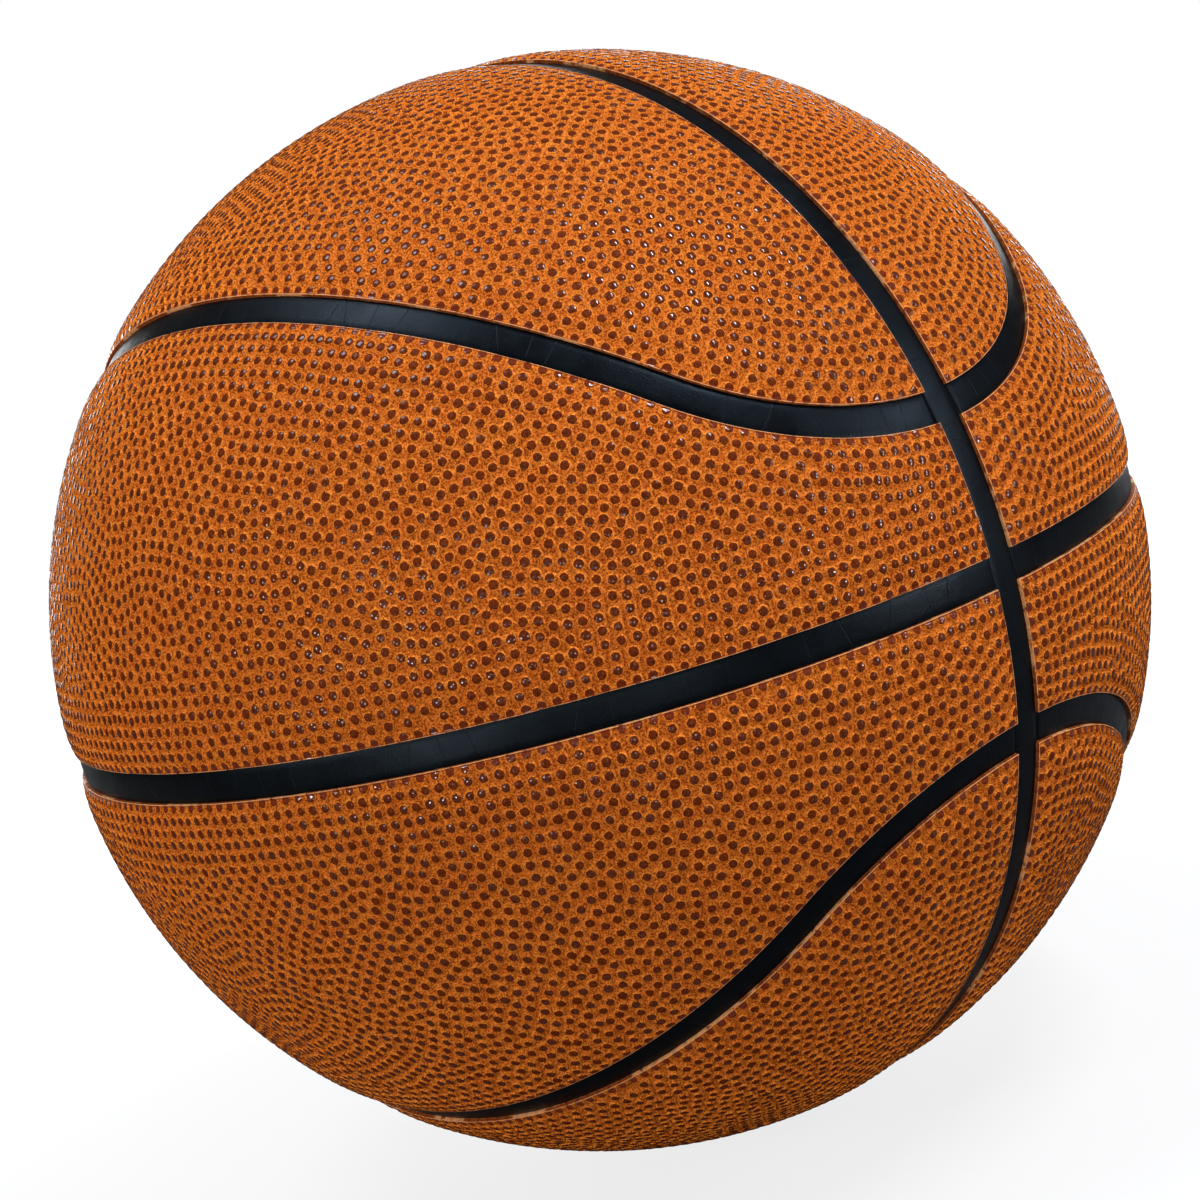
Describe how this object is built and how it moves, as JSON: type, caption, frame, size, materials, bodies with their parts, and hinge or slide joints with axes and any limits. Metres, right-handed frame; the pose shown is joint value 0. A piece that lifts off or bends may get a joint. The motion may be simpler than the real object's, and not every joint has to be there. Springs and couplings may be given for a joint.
{
  "type": "basketball",
  "caption": "Moulded rubber basketball: pebbled cover panels and recessed seam strips on a rubber carcass, over a thread winding and a bladder with a needle valve.",
  "frame": {"origin": "centre of the ball", "axes": "+X to a crossing of the ring seam and the cross seam, -X to the other crossing, where the valve is; ring seam in the XZ plane, cross seam in the XY plane; one loop seam goes round +Z and one round -Z"},
  "size_m": [0.2384, 0.2384, 0.2384],
  "materials": {
    "cover": "pebbled, with glossy dark pebble tops",
    "seam": "smooth, satin",
    "carcass": "smooth, matt",
    "winding": "wound thread",
    "bladder": "smooth, satin",
    "valve": "smooth, matt"
  },
  "bodies": {
    "root": {"loop_panel_top_right": "cover", "loop_panel_top_left": "cover", "loop_panel_bottom_right": "cover", "loop_panel_bottom_left": "cover", "band_panel_top_right": "cover", "band_panel_top_left": "cover", "band_panel_bottom_right": "cover", "band_panel_bottom_left": "cover", "ring_strip": "seam", "cross_strip_right": "seam", "cross_strip_left": "seam", "loop_strip_top_right": "seam", "loop_strip_top_left": "seam", "loop_strip_bottom_right": "seam", "loop_strip_bottom_left": "seam", "carcass": "carcass", "winding": "winding", "bladder": "bladder", "valve_housing": "valve", "valve_plug": "valve"}
  },
  "joints": []
}
